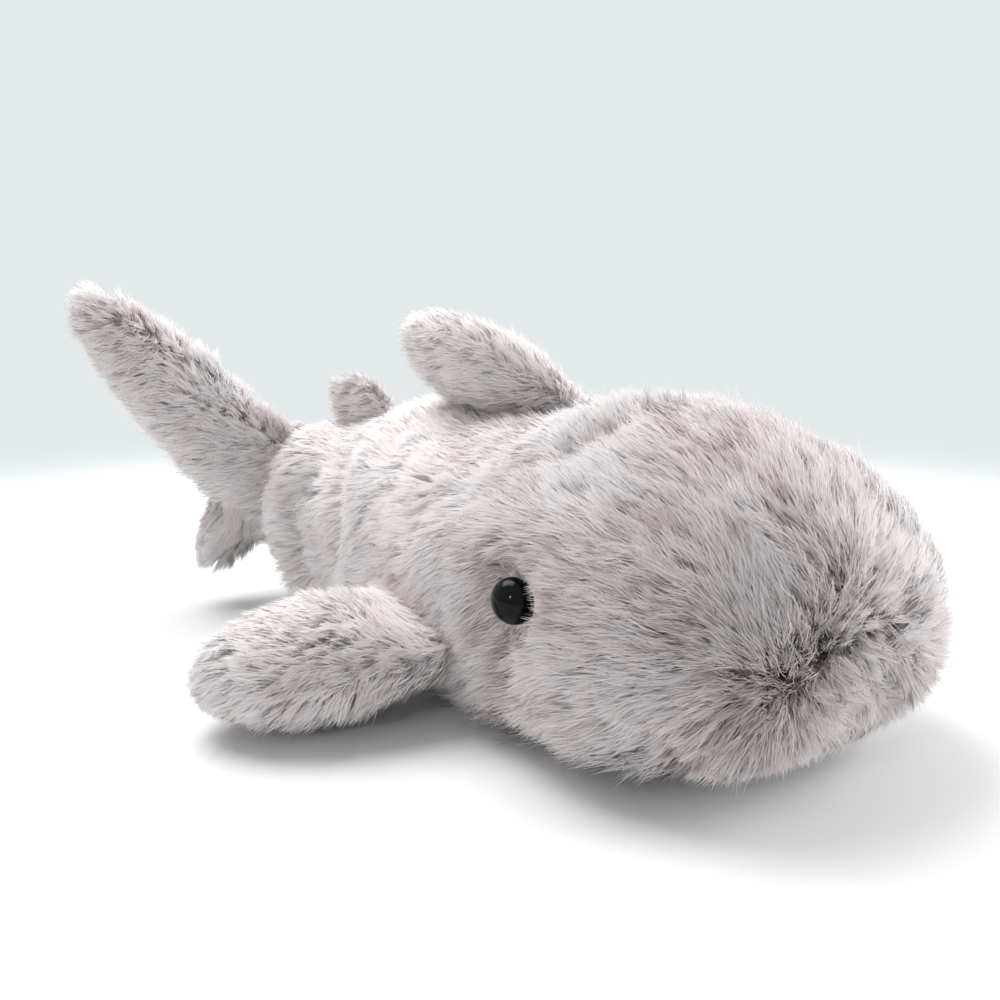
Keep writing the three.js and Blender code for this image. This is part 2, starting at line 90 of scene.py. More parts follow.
backdrop_grey, daylight, room_strength = (0.775, 0.815, 0.825, 1), (0.96, 0.98, 1.0, 1), 0.39
world = bpy.data.worlds.new("studio")
bpy.context.scene.world = world
world.use_nodes = True
sky, link = world.node_tree, world.node_tree.links.new
path, seen = add_node(sky, "LightPath"), add_node(sky, "Math", {"operation": "MAXIMUM"})
paper, choose = add_node(sky, "Background", Color=backdrop_grey), add_node(sky, "MixShader")
room = sky.nodes["Background"]
room.inputs["Color"].default_value = daylight
room.inputs["Strength"].default_value = room_strength
link(path.outputs["Is Camera Ray"], seen.inputs[0])
link(path.outputs["Is Glossy Ray"], seen.inputs[1])
link(seen.outputs[0], choose.inputs["Fac"])
link(room.outputs[0], choose.inputs[1])
link(paper.outputs[0], choose.inputs[2])
link(choose.outputs[0], sky.nodes["World Output"].inputs["Surface"])

floor_reach, floor_drop = 6.0, 0.0004
near_white, far_grey = (0.93, 0.93, 0.93, 1), (0.70, 0.735, 0.745, 1)
fade_start, fade_end = 0.30, 0.72
floor_mesh = bpy.data.meshes.new("floor")
square = ((-1, -1), (1, -1), (1, 1), (-1, 1))
floor_corners = [(x * floor_reach, y * floor_reach, -floor_drop) for x, y in square]
floor_mesh.from_pydata(floor_corners, [], [(0, 1, 2, 3)])
floor = bpy.data.objects.new("floor", floor_mesh)
bpy.context.scene.collection.objects.link(floor)


def new_material(name):
    """A material with its node tree and its Principled shader."""
    material = bpy.data.materials.new(name)
    material.use_nodes = True
    return material, material.node_tree, material.node_tree.nodes["Principled BSDF"]


floor_paint, tree, board = new_material("white_sweep")
board.inputs["Roughness"].default_value = 0.9
where, away = add_node(tree, "TexCoord"), add_node(tree, "VectorMath", {"operation": "LENGTH"})
fade = add_node(tree, "MapRange", {"interpolation_type": "SMOOTHSTEP"},
                From_Min=fade_start, From_Max=fade_end)
shade = add_node(tree, "Mix", {"data_type": "RGBA"}, A=near_white, B=far_grey)
path, hidden = add_node(tree, "LightPath"), add_node(tree, "Math", {"operation": "MULTIPLY"})
far_paper, sweep = add_node(tree, "Emission", Color=backdrop_grey), add_node(tree, "MixShader")
link = tree.links.new
link(where.outputs["Object"], away.inputs[0])
link(away.outputs["Value"], fade.inputs["Value"])
link(fade.outputs["Result"], shade.inputs["Factor"])
link(shade.outputs["Result"], board.inputs["Base Color"])
link(path.outputs["Is Camera Ray"], hidden.inputs[0])
link(fade.outputs["Result"], hidden.inputs[1])
link(hidden.outputs[0], sweep.inputs["Fac"])
link(board.outputs[0], sweep.inputs[1])
link(far_paper.outputs[0], sweep.inputs[2])
link(sweep.outputs[0], tree.nodes["Material Output"].inputs["Surface"])
floor_mesh.materials.append(floor_paint)

toy_middle = (0, 0, 0.04)


def lamp(name, place, size, watts):
    """A square soft lamp at a place in metres, turned to the toy."""
    light = bpy.data.lights.new(name, "AREA")
    light.size, light.energy = size, watts
    holder = bpy.data.objects.new(name, light)
    bpy.context.scene.collection.objects.link(holder)
    holder.location = place
    holder.rotation_euler = (Vector(toy_middle) - Vector(place)).to_track_quat("-Z", "Y").to_euler()


lamp("key", (-0.20, 0.50, 1.05), 0.9, 15)
lamp("right", (0.85, -0.55, 0.50), 0.6, 8)
lamp("table_glow", (0.42, -0.40, 0.11), 0.25, 0.7)
lamp("window", (-0.87, -0.36, 0.36), 0.085, 0.9)

# Back: one panel of long-pile plush over the sleeve, from the neck to the rear seam under the tail.
# The knitted backing is sewn to the belly panel low on each side.
# Sizes are in millimetres, and places along the body are measured back from the snout's tip.
neck_back, body_length, body_bend = 158, 156, np.radians(46)
bend_radius = body_length / body_bend
rear_back = neck_back + body_length
girths = [(0, 146, 113), (82, 146, 113), (127.5, 144, 102), (210, 130, 101), (268, 92, 86),
          (rear_back, 92, 86)]
head_swell, head_bluntness, crown_back, brow_bluntness, rear_swell = 82, 2.8, 116, 2, 46
snout_height, middle_height, fold_centre = 47, 62, 50
back_squareness, belly_squareness = 2.15, 3.8
belly_seam, root_inset, cloth_wall = 16, 5.0, 2.0
pile_inset = root_inset + 0.2
mouth_foot, mouth_lean = rear_back - 48, np.radians(35)
strip_join = 232
left_creases = 0.7
creases = [([(-22, 79, 107), (-39, 77, 102), (-49, 79, 96), (-62, 110, 82), (-66, 141, 70)], 3.6, 7),
           ([(-58, 222, 80), (-60, 217, 74), (-68, 207, 55), (-67, 213, 34), (-68.5, 238, 20)], 9, 8.5),
           ([(-62, 236, 76), (-71, 246, 56), (-71, 242, 28)], 8, 8)]


def eased(t):
    """Nought to one with level ends: 3t squared less 2t cubed."""
    t = np.clip(t, 0, 1)
    return t * t * (3 - 2 * t)


def girth(back, column):
    """The trunk's width (column 1) or top height (column 2), eased from each pattern line to the next."""
    size = np.full(np.shape(back), float(girths[0][column]))
    for a, b in zip(girths, girths[1:]):
        size = size + (b[column] - a[column]) * eased((back - a[0]) / (b[0] - a[0]))
    return size


def swell(distance, length, bluntness):
    """How far a rounded end has opened at a distance from its tip: a superellipse quarter, 0 to 1."""
    return (1 - (1 - np.clip(distance / length, 0, 1)) ** bluntness) ** (1 / bluntness)


def trunk_section(back, inset):
    """Half width, top and bottom of the section: the girth rounded off by the snout, brow and rear."""
    snout = swell(back - inset, head_swell - inset, head_bluntness)
    brow = swell(back - inset, crown_back - inset, brow_bluntness)
    rear = swell(rear_back - inset - back, rear_swell - inset, 2)
    middle = np.where(back < head_swell, snout_height, middle_height)
    half = (girth(back, 1) / 2 - inset) * snout * rear
    top = middle + (girth(back, 2) - inset - middle) * brow * rear
    bottom = middle - (middle + 0.5 - inset) * snout * rear
    return half, top, bottom


def trunk(back, angle, inset):
    """A point of the trunk: a superellipse, blunter below than above, square to the bent centre line.
    Angle 0 is the left side and a quarter turn is the top."""
    half, top, bottom = trunk_section(back, inset)
    power = 2 / np.where(np.sin(angle) > 0, back_squareness, belly_squareness)
    side = np.sign(np.cos(angle)) * np.abs(np.cos(angle)) ** power
    rise = np.sign(np.sin(angle)) * np.abs(np.sin(angle)) ** power
    turn = np.maximum(back - neck_back, 0) / bend_radius
    x = -bend_radius * (1 - np.cos(turn)) + half * side * np.cos(turn)
    y = np.minimum(back, neck_back) + bend_radius * np.sin(turn) + half * side * np.sin(turn)
    z = (top + bottom) / 2 + (top - bottom) / 2 * rise
    return np.stack([x, y, np.maximum(z, 0.4)], -1)


def angle_at(back, height, inset):
    """The angle on the left side at which the trunk's section passes a height."""
    _, top, bottom = trunk_section(back, inset)
    rise = np.clip((height - (top + bottom) / 2) / np.maximum((top - bottom) / 2, 1e-6), -1, 1)
    power = 2 / np.where(rise > 0, back_squareness, belly_squareness)
    return np.arcsin(np.sign(rise) * np.abs(rise) ** (1 / power))


def into_body(points):
    """How far back a point is, how far left of the centre line, and the turn of the body there."""
    x, y = points[..., 0], points[..., 1]
    turn = np.where(y > neck_back, np.arctan2(y - neck_back, x + bend_radius), 0)
    left = np.where(y > neck_back, np.hypot(x + bend_radius, y - neck_back) - bend_radius, x)
    return np.where(y > neck_back, neck_back + bend_radius * turn, y), left, turn


def outside_trunk(points, inset):
    """Above nought outside the trunk: the section's superellipse sum less one."""
    back, left, _ = into_body(points)
    half, top, bottom = trunk_section(back, inset)
    middle, tall = (top + bottom) / 2, np.maximum((top - bottom) / 2, 1e-6)
    power = np.where(points[..., 2] > middle, back_squareness, belly_squareness)
    across = (np.abs(left) / np.maximum(half, 1e-6)) ** power
    total = across + (np.abs(points[..., 2] - middle) / tall) ** power
    return np.where((back > inset) & (back < rear_back - inset), np.minimum(total, 99) - 1, 99)


def mouth_height(back, side, inset):
    """How high the sleeve's slanted mouth has risen behind its foot, on the left (1) or the right (-1)."""
    half, _, _ = trunk_section(back, inset)
    turn = np.maximum(back - mouth_foot, 0) / bend_radius
    return (bend_radius + 0.9 * side * half) * np.sin(turn) / np.tan(mouth_lean)


def other_side(line):
    """The same places on the other side of the bent centre line."""
    back, left, turn = into_body(line)
    x = -bend_radius * (1 - np.cos(turn)) - left * np.cos(turn)
    y = np.minimum(back, neck_back) + bend_radius * np.sin(turn) - left * np.sin(turn)
    return np.stack([x, y, line[:, 2]], 1)


def creased(points):
    """Soft folds of the slack plush, shallower on the left: near each crease a point sinks towards
    the body's middle, by a bell curve of its distance."""
    for line, depth, width in creases:
        line = np.array(line, float)
        step = np.linspace(0, len(line) - 1, 30)
        fold = np.stack([np.interp(step, np.arange(len(line)), line[:, k]) for k in range(3)], 1)
        _, left, turn = into_body(points)
        for places, share in ((fold, 1), (other_side(fold), left_creases)):
            near = np.full(points.shape[:-1], 1e9)
            for place in places:
                near = np.minimum(near, ((points - place) ** 2).sum(-1))
            sink = depth * share * np.exp(-near / width ** 2)
            inward = np.stack([-left * np.cos(turn), -left * np.sin(turn), fold_centre - points[..., 2]], -1)
            distance = np.maximum(np.linalg.norm(inward, axis=-1, keepdims=True), 1)
            points = points + sink[..., None] * inward / distance
    return points


def back_half(side, start, end, inset, rows=90, columns=60):
    """Left (1) or right (-1) half of the back: from the belly seam, or the sleeve's mouth, to the spine."""
    t = np.linspace(0, 1, rows)
    t = 1 - (1 - t) ** 2.2 if end == rear_back else t
    back = (start + (min(end, rear_back - inset) - start) * t)[:, None] + np.zeros(columns)
    low = np.maximum(belly_seam, mouth_height(back, side, inset))
    seam = angle_at(back, low, inset)
    share = np.linspace(0, 1, columns)[None, :]
    angle = seam + (np.pi / 2 - seam) * share
    return creased(trunk(back, angle, inset) if side > 0 else trunk(back, np.pi - angle[:, ::-1], inset))


def in_place(points):
    """Millimetres back from the snout's tip into metres in the toy's frame."""
    return points * 0.001 + np.array([0, cad_box[0].y, 0])


def sew(name, material, *layers):
    """A closed wall: each layer's outer and inner grid of points are joined by a strip round their edges.
    Where an edge closes on itself or runs into a point, its doubled vertices are merged instead."""
    points, faces, first, weld = [], [], 0, 4e-6
    squares = lambda g: np.stack([g[:-1, :-1], g[1:, :-1], g[1:, 1:], g[:-1, 1:]], -1).reshape(-1, 4)
    for outer, inner in layers:
        place = first + np.arange(outer.shape[0] * outer.shape[1]).reshape(outer.shape[:2])
        faces.append(squares(place))
        points.append(outer.reshape(-1, 3))
        first += place.size
        if inner is None:
            continue
        under = place + place.size
        faces.append(squares(under)[:, ::-1])
        points.append(inner.reshape(-1, 3))
        first += place.size
        ring = np.allclose(outer[:, 0], outer[:, -1], atol=1e-3)
        turns = [(place[:, 0], under[:, 0], outer[:, 0]),
                 (place[-1], under[-1], outer[-1]),
                 (place[::-1, -1], under[::-1, -1], outer[:, -1]),
                 (place[0, ::-1], under[0, ::-1], outer[0])]
        for k, (edge, lower, line) in enumerate(turns):
            if not (ring and k % 2 == 0) and np.ptp(line, axis=0).max() > 1e-3:
                faces.append(np.stack([edge[1:], edge[:-1], lower[:-1], lower[1:]], -1))
    mesh = bpy.data.meshes.new(name)
    mesh.from_pydata(in_place(np.concatenate(points)), [], np.concatenate(faces).tolist())
    soft = bmesh.new()
    soft.from_mesh(mesh)
    bmesh.ops.remove_doubles(soft, verts=soft.verts, dist=weld)
    bmesh.ops.dissolve_degenerate(soft, edges=soft.edges, dist=weld)
    soft.to_mesh(mesh)
    soft.free()
    mesh.shade_smooth()
    mesh.materials.append(material)
    piece = bpy.data.objects.new(name, mesh)
    bpy.context.scene.collection.objects.link(piece)
    return piece


def cloud(points, size, seed):
    """Soft random patches of about a size in millimetres, -1 to 1: random values on a lattice, eased."""
    values = np.random.default_rng(seed).uniform(-1, 1, (24, 24, 24))
    at = points / size + 100
    cell, part = np.floor(at).astype(int), eased(at - np.floor(at))
    total = np.zeros(points.shape[:-1])
    for corner in range(8):
        step = np.array([corner & 1, corner >> 1 & 1, corner >> 2 & 1])
        weight = np.prod(np.where(step, part, 1 - part), axis=-1)
        i, j, k = np.moveaxis((cell + step) % 24, -1, 0)
        total += weight * values[i, j, k]
    return total


def nearest_middle(points, size, seed):
    """The nearest of one random place in each cell of a lattice: neighbouring locks share a middle."""
    jitter = np.random.default_rng(seed).random((16, 16, 16, 3))
    cell = np.floor(points / size).astype(int)
    best, middle = np.full(len(points), np.inf), np.zeros_like(points)
    for step in np.ndindex(3, 3, 3):
        there = cell + np.array(step) - 1
        i, j, k = np.moveaxis(there % 16, -1, 0)
        candidate = (there + jitter[i, j, k]) * size
        distance = ((candidate - points) ** 2).sum(1)
        middle = np.where((distance < best)[:, None], candidate, middle)
        best = np.minimum(best, distance)
    return middle


def in_surface(way, normal):
    """The part of a direction that lies in the cloth's surface."""
    return way - (way * normal).sum(1, keepdims=True) * normal


fibres_in_lock, lock_reach, tuft_size, palest_tone = 15, 2.1, 8.5, 0.32


def pile(name, material, grids, lay, length, locks, seed, bare=None, shorter=None, paler=0.0):
    """Long pile: locks of fibres grow from random places of the surface grids, so many to a square
    millimetre. Each fibre leaves the cloth steeply, bends over along the lay and leans towards the
    middle of its lock; lay gives its direction and how upright it stands, bare the places without
    pile, shorter a share of the length. A fibre is a narrow tapering ribbon of two lengths, whose own
    UV map runs from root to tip and holds its tone, duskier in patches by painted shade between rows of
    locks; paler draws the tones towards the palest, with less of that painted shade."""
    rng = np.random.default_rng(seed)
    roots, normals = [], []
    for grid in grids:
        a, b, c, d = grid[:-1, :-1], grid[1:, :-1], grid[1:, 1:], grid[:-1, 1:]
        facing = np.cross(c - a, d - b).reshape(-1, 3) / 2
        area = np.linalg.norm(facing, axis=1)
        count = int(area.sum() * locks)
        pick = rng.choice(len(area), count, p=area / area.sum())
        u, v = rng.random((2, count, 1))
        a, b, c, d = (corner.reshape(-1, 3)[pick] for corner in (a, b, c, d))
        roots.append((a * (1 - u) + b * u) * (1 - v) + (d * (1 - u) + c * u) * v)
        normals.append(facing[pick] / np.maximum(area[pick, None], 1e-9))
    root, normal = np.concatenate(roots), np.concatenate(normals)
    kept = np.ones(len(root), bool) if bare is None else ~bare(root)
    root, normal = root[kept], normal[kept]
    count = len(root)
    flow, upright = lay(root, normal)
    flow = in_surface(flow, normal)
    flow /= np.maximum(np.linalg.norm(flow, axis=1, keepdims=True), 1e-6)
    cross = np.cross(normal, flow)
    middle = nearest_middle(root, tuft_size, 5)
    own = np.modf(np.abs(middle @ [12.9, 78.2, 37.7]))[0] - 0.5
    pull = in_surface(middle - root, normal)
    loose = (0.13 + 0.8 * upright) * rng.normal(size=count)
    swing = 0.6 * cloud(root, 17, 3) + 0.3 * cloud(root, 6, 4) + 0.15 * own + loose
    flow = flow * np.cos(swing)[:, None] + cross * np.sin(swing)[:, None]
    cross = np.cross(normal, flow)
    # Patches about 11 mm across are shorter, and their tones are duskier as painted shade between rows of
    # locks.
    patch = cloud(root, 11, 12)
    uneven = 1 + 0.14 * cloud(root, 14, 6) - 0.16 * patch + 0.10 * own + 0.07 * rng.normal(size=count)
    long = length * uneven
    if shorter is not None:
        long = long * shorter(root)
    tone = 0.47 + 0.26 * cloud(root, 30, 11) + 0.38 * patch + 0.15 * own + 0.15 * rng.normal(size=count)
    tone = np.clip(tone + paler * (palest_tone - tone), 0.03, 0.97)

    each = lambda a: np.repeat(a, fibres_in_lock, axis=0)
    root, normal, flow, cross, pull = map(each, (root, normal, flow, cross, pull))
    long, tone, upright = map(each, (long, tone, upright))
    n = len(root)
    column = lambda a: a[:, None]
    rise = lambda angle: normal * column(np.sin(angle)) + flow * column(np.cos(angle))
    spread, around = lock_reach * np.sqrt(rng.random(n)), rng.uniform(0, 2 * np.pi, n)
    offset = flow * column(spread * np.cos(around)) + cross * column(spread * np.sin(around))
    long = long * rng.uniform(0.72, 1.08, n)
    lean = rng.normal(0, 0.13, n)
    flow = flow * column(np.cos(lean)) + cross * column(np.sin(lean))
    steep = np.radians(48 + 34 * upright + rng.normal(0, 7, n))
    gentle = np.radians(19 + 40 * upright + rng.normal(0, 9, n))
    start = root + offset
    bend = root + 0.75 * offset + 0.05 * pull + column(0.5 * long) * rise(steep)
    tip = bend - 0.62 * offset + 0.12 * pull + column(0.5 * long) * rise(gentle)
    twist = rng.uniform(-0.9, 0.9, n)
    wide = np.cross(normal, flow) * column(np.cos(twist)) + normal * column(np.sin(twist))
    half = rng.uniform(0.17, 0.26, n)
    foot, waist = wide * column(half), wide * column(0.8 * half)
    points = np.stack([start - foot, start + foot, bend - waist, bend + waist, tip], 1)
    above_floor = rng.uniform(0.25, 1.6, n)
    points[..., 2] = np.maximum(points[..., 2], column(above_floor))
    mesh = bpy.data.meshes.new(name)
    mesh.vertices.add(5 * n)
    mesh.vertices.foreach_set("co", in_place(points).astype(np.float32).ravel())
    corners = np.array([1, 0, 2, 3, 3, 2, 4])
    mesh.loops.add(7 * n)
    mesh.loops.foreach_set("vertex_index", (corners[None, :] + 5 * np.arange(n)[:, None]).ravel())
    mesh.polygons.add(2 * n)
    mesh.polygons.foreach_set("loop_start", (np.array([0, 4])[None, :] + 7 * np.arange(n)[:, None]).ravel())
    across = np.array([1, -1, -1, 1, 1, -1, 0]) * 0.008
    up = np.array([0.02, 0.02, 0.5, 0.5, 0.5, 0.5, 0.98])
    tones = np.clip(tone + rng.normal(0, 0.04, n), 0.02, 0.98)
    uv = np.stack([tones[:, None] + across, np.broadcast_to(up, (n, 7))], -1)
    mesh.uv_layers.new(name="OFBake").data.foreach_set("uv", uv.astype(np.float32).ravel())
    mesh.update(calc_edges=True)
    mesh.shade_smooth()
    ribbon = np.cross(flow, wide)
    facing = normal * 0.75 + ribbon * 0.35
    facing /= np.linalg.norm(facing, axis=1, keepdims=True)
    mesh.normals_split_custom_set_from_vertices(np.repeat(facing, 5, axis=0).astype(np.float32))
    mesh.materials.append(material)
    piece = bpy.data.objects.new(name, mesh)
    bpy.context.scene.collection.objects.link(piece)
    return piece


def shader_group(name, inputs, outputs):
    """An empty shader node group with named inputs, each of a kind and a value, and named outputs."""
    group = bpy.data.node_groups.new(name, "ShaderNodeTree")
    for word, kind, value in inputs:
        group.interface.new_socket(word, in_out="INPUT", socket_type=kind).default_value = value
    for word, kind in outputs:
        group.interface.new_socket(word, in_out="OUTPUT", socket_type=kind)
    return group, group.nodes.new("NodeGroupInput"), group.nodes.new("NodeGroupOutput")


def multiplied(tree, first, second):
    """The product of two outputs of a tree's nodes, as a colour."""
    product = add_node(tree, "Mix", {"data_type": "RGBA", "blend_type": "MULTIPLY"}, Factor=1)
    tree.links.new(first, product.inputs["A"])
    tree.links.new(second, product.inputs["B"])
    return product.outputs["Result"]


def fibre_group():
    """How far along a fibre from root to tip, its lock's tone, and fine streaks: lighter and darker by
    noise on the fibre's own map."""
    group, given, out = shader_group(
        "fibre", [("Streaks", "NodeSocketFloat", 60), ("Dark", "NodeSocketFloat", 0.88),
                  ("Light", "NodeSocketFloat", 1.08)],
        [(word, "NodeSocketFloat") for word in ("Along", "Tone", "Streak")])
    fibre, split = add_node(group, "UVMap", {"uv_map": "OFBake"}), add_node(group, "SeparateXYZ")
    streak, shade = add_node(group, "TexNoise", Detail=2), add_node(group, "MapRange")
    link = group.links.new
    link(fibre.outputs["UV"], split.inputs["Vector"])
    link(fibre.outputs["UV"], streak.inputs["Vector"])
    link(given.outputs["Streaks"], streak.inputs["Scale"])
    link(streak.outputs["Fac"], shade.inputs["Value"])
    link(given.outputs["Dark"], shade.inputs["To Min"])
    link(given.outputs["Light"], shade.inputs["To Max"])
    link(split.outputs["Y"], out.inputs["Along"])
    link(split.outputs["X"], out.inputs["Tone"])
    link(shade.outputs["Result"], out.inputs["Streak"])
    return group


def plush_pile(name, *palettes):
    """Pile: dull mauve at the root, lavender grey along the fibre and pale at the tip; the darker root is
    partly the pile's own colour and partly painted shade deep in the pile. Some locks are cooler, and some
    are duskier by painted shade between rows of locks. A palette names them in that order; a first one gives
    way to a second along the neck."""
    material, tree, shader = new_material(name)
    fibre, link = add_node(tree, "Group", {"node_tree": fibres}), tree.links.new
    tints = []
    for root, middle, tip, cool, shaded_dusky in palettes:
        half_way = (np.array(root) + np.array(middle)) / 2
        along, tone = add_node(tree, "ValToRGB"), add_node(tree, "ValToRGB")
        for ramp, stops in ((along, ((0.0, root), (1.0, tip), (0.40, half_way), (0.75, middle))),
                            (tone, ((0.05, cool), (0.95, shaded_dusky), (palest_tone, palest), (0.60, greyer)))):
            for k, (place, colour) in enumerate(stops):
                step = ramp.color_ramp.elements[k] if k < 2 else ramp.color_ramp.elements.new(place)
                step.position, step.color = place, (*colour, 1)
        link(fibre.outputs["Along"], along.inputs["Fac"])
        link(fibre.outputs["Tone"], tone.inputs["Fac"])
        tints.append(multiplied(tree, along.outputs["Color"], tone.outputs["Color"]))
    # Along the neck the first palette fades into the second; for the head this fades out its painted shade.
    if len(palettes) > 1:
        where, place = add_node(tree, "TexCoord"), add_node(tree, "SeparateXYZ")
        fade = add_node(tree, "MapRange", {"interpolation_type": "SMOOTHSTEP"},
                        From_Min=neck_fade_start, From_Max=neck_fade_end)
        turn = add_node(tree, "Mix", {"data_type": "RGBA"})
        link(where.outputs["Object"], place.inputs[0])
        link(place.outputs["Y"], fade.inputs["Value"])
        link(fade.outputs["Result"], turn.inputs["Factor"])
        link(tints[0], turn.inputs["A"])
        link(tints[1], turn.inputs["B"])
        tints = [turn.outputs["Result"]]
    link(multiplied(tree, tints[0], fibre.outputs["Streak"]), shader.inputs["Base Color"])
    shader.inputs["Roughness"].default_value = 0.5
    shader.inputs["Specular IOR Level"].default_value = 0.35
    return material


def stitch_group():
    """Rows of small stitches: cells raised in their middles, the colour darker between them as painted shade
    in the hollows, and uneven from place to place."""
    group, given, out = shader_group(
        "stitches", [("Colour", "NodeSocketColor", (1, 1, 1, 1)), ("Count", "NodeSocketFloat", 1000),
                     ("Depth", "NodeSocketFloat", 0.0003)],
        [("Colour", "NodeSocketColor"), ("Normal", "NodeSocketVector")])
    place, cells = add_node(group, "TexCoord"), add_node(group, "TexVoronoi")
    mottle = add_node(group, "TexNoise", Scale=90, Detail=4)
    # The colour darkens from a cell's middle to its edge: painted shade in the hollows between stitches.
    shade = add_node(group, "MapRange", From_Max=0.7, To_Min=1.0, To_Max=0.62)
    patch = add_node(group, "MapRange", To_Min=0.82, To_Max=1.12)
    both, bump = add_node(group, "Math", {"operation": "MULTIPLY"}), add_node(group, "Bump", {"invert": True})
    link = group.links.new
    link(place.outputs["Object"], cells.inputs["Vector"])
    link(place.outputs["Object"], mottle.inputs["Vector"])
    link(given.outputs["Count"], cells.inputs["Scale"])
    link(cells.outputs["Distance"], shade.inputs["Value"])
    link(mottle.outputs["Fac"], patch.inputs["Value"])
    link(shade.outputs["Result"], both.inputs[0])
    link(patch.outputs["Result"], both.inputs[1])
    link(given.outputs["Depth"], bump.inputs["Distance"])
    link(cells.outputs["Distance"], bump.inputs["Height"])
    link(multiplied(group, given.outputs["Colour"], both.outputs[0]), out.inputs["Colour"])
    link(bump.outputs["Normal"], out.inputs["Normal"])
    return group


def knitted(name, colour, stitch, depth, roughness=0.85):
    """Knitted cloth, with a stitch's size and depth in millimetres."""
    material, tree, shader = new_material(name)
    cloth = add_node(tree, "Group", {"node_tree": stitches},
                     Colour=(*colour, 1), Count=1000 / stitch, Depth=depth * 0.001)
    tree.links.new(cloth.outputs["Colour"], shader.inputs["Base Color"])
    tree.links.new(cloth.outputs["Normal"], shader.inputs["Normal"])
    shader.inputs["Roughness"].default_value = roughness
    return material


def joined_at_neck(piece, *nodes):
    """A piece about the neck, which replaces the nodes that it stands for: they are hidden, and its place is
    baked into its mesh.
    """
    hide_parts(*nodes)
    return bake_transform(piece)


def on_body(piece, body, slot, *nodes):
    """A piece sewn or stuffed onto one body."""
    if nodes:
        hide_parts(*nodes)
    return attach(piece, body)


seam_reach, seam_width, seam_height, seam_fall, seam_back = 26, 28, 58, 18, 3.0
cleft_top, cleft_foot = (0, 2.0, 39), (17, 2.0, 24)


def parting(root):
    """The way and the distance to each root from the arched seam over the snout's front, or from the
    cleft under it, and whether the cleft is nearer."""
    x = np.linspace(-seam_reach, seam_reach, 47)
    height = seam_height - seam_fall * (np.abs(x) / seam_width) ** 1.2
    arch = np.stack([x, np.full(47, seam_back), height], 1)
    cleft = np.stack([np.linspace(top, foot, 12) for top, foot in zip(cleft_top, cleft_foot)], 1)
    seam = np.concatenate([arch, cleft])
    from_seam = root[:, None, :] - seam[None]
    nearest = np.argmin((from_seam ** 2).sum(2), axis=1)
    leave = from_seam[np.arange(len(root)), nearest]
    distance = np.linalg.norm(leave, axis=1)
    return leave / np.maximum(distance, 1e-6)[:, None], distance, nearest >= len(arch)


def lay_trunk(root, normal):
    """The pile parts at the seam over the snout, leaves it all round, and lies back and a little down.
    It stands up along the seam, and splays low on the cheeks and sides."""
    back, _, turn = into_body(root)
    leave, distance, below = parting(root)
    along = np.stack([-np.sin(turn), np.cos(turn), np.zeros_like(turn)], 1)
    far = eased((back - 30) / 70)[:, None]
    low = 1 - eased(root[:, 2:] / 32)
    down = np.array([0, 0, -1.0]) * (0.15 + (0.45 + 0.8 * low) * far * np.abs(normal[:, :1]))
    splay = 0.35 * (1 - eased(root[:, 2] / 24)) * eased((back - 50) / 40)
    stands = 0.78 * eased(1.1 - distance / 17) * np.where(below, 0.2, 1)
    return leave * (1 - far) + along * far + down, np.maximum(stands, splay)


palest, greyer = (1.0, 0.985, 0.975), (0.94, 0.91, 0.905)
neck_fade_start, neck_fade_end, neck_axis_height = -0.078, -0.006, 0.046
# The pile's root, middle, tip, cool and dusky tones: the mauve root is partly the pile's own colour and
# partly painted shade deep in the pile, and the dusky tone is painted shade between rows of locks.
mauve, lavender, cream = (0.83, 0.765, 0.755), (0.955, 0.918, 0.907), (0.99, 0.978, 0.97)
body_palette = (mauve, lavender, cream, (0.91, 0.93, 0.97), (0.85, 0.79, 0.78))
fibres, stitches = fibre_group(), stitch_group()
backing = knitted("plush_backing", (0.94, 0.88, 0.87), 1.1, 0.35)
body_pile = plush_pile("body_pile", body_palette)
sides = ((1, "left"), (-1, "right"))

walls = [[back_half(side, neck_back, rear_back, root_inset + wall) for wall in (0, cloth_wall)]
         for side, _ in sides]
back_cloth = sew("back_cloth", backing, *walls)
joined_at_neck(back_cloth, "back_panel")
for side, word in sides:
    for start, end, part in ((neck_back, strip_join, "front"), (strip_join, rear_back, "rear")):
        grid = back_half(side, start, end, pile_inset, 120, 90)
        strip = pile(f"back_pile_{word}_{part}", body_pile, [grid], lay_trunk, 12.5, 0.245,
                     seed=20 + 2 * (side > 0) + (part == "rear"), paler=0.4)
        joined_at_neck(strip, "back_panel")

# Belly: a flat plush panel with shorter pile, pressed against what the toy lies on.
# It is sewn to the back panel along both sides and ends at the hem of the sleeve's mouth.
bottom_angle, mouth_sample = 1.5 * np.pi, 240.0


def under_body(back, seam, inset, columns):
    """Angles from a height on the right side down under the body and up to that height on the left."""
    right = np.pi - angle_at(back, seam, inset)
    return right + 2 * (bottom_angle - right) * np.linspace(0, 1, columns)[None, :]


def belly_grid(inset, rows=70, columns=60):
    """The belly from the neck to the slanted mouth, from the right seam under the body to the left one."""
    back = np.full((1, columns), mouth_sample)
    height = trunk(back, under_body(back, belly_seam, inset, columns), inset)[..., 2]
    end = mouth_foot + height * np.tan(mouth_lean)
    back = neck_back + (end - neck_back) * np.linspace(0, 1, rows)[:, None]
    return trunk(back, under_body(back, belly_seam, inset, columns), inset)


belly_cloth = sew("belly_cloth", backing, (belly_grid(root_inset), belly_grid(root_inset + cloth_wall)))
joined_at_neck(belly_cloth, "belly_panel")
belly_pile = pile("belly_pile", body_pile, [belly_grid(pile_inset)], lay_trunk, 9, 0.107, seed=31)
joined_at_neck(belly_pile, "belly_panel")

